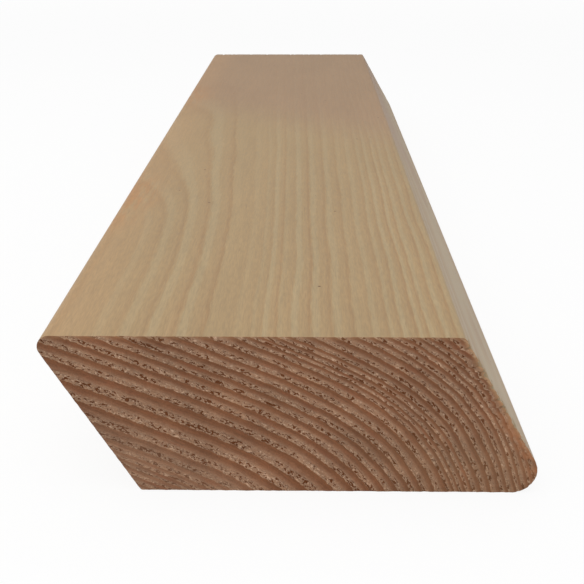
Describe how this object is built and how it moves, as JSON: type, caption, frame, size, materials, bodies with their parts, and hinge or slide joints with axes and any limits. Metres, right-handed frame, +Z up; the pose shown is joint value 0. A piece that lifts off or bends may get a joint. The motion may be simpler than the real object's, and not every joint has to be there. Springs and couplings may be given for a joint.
{
  "type": "timber plank",
  "caption": "Softwood plank with a rhombus section: level faces, two long edges leaning the same way, rounded acute corners and square sawn ends, for cladding and slatted screens.",
  "frame": {"origin": "middle of the plank's footprint, on the level of its bottom face", "axes": "+Y along the plank's length, +Z up out of the top face, +X across the width towards the bottom face's acute corner"},
  "size_m": [0.0798, 0.3, 0.028],
  "materials": {
    "softwood": "planed faces and sawn ends, bare wood"
  },
  "bodies": {
    "root": {"plank": "softwood"}
  },
  "joints": []
}
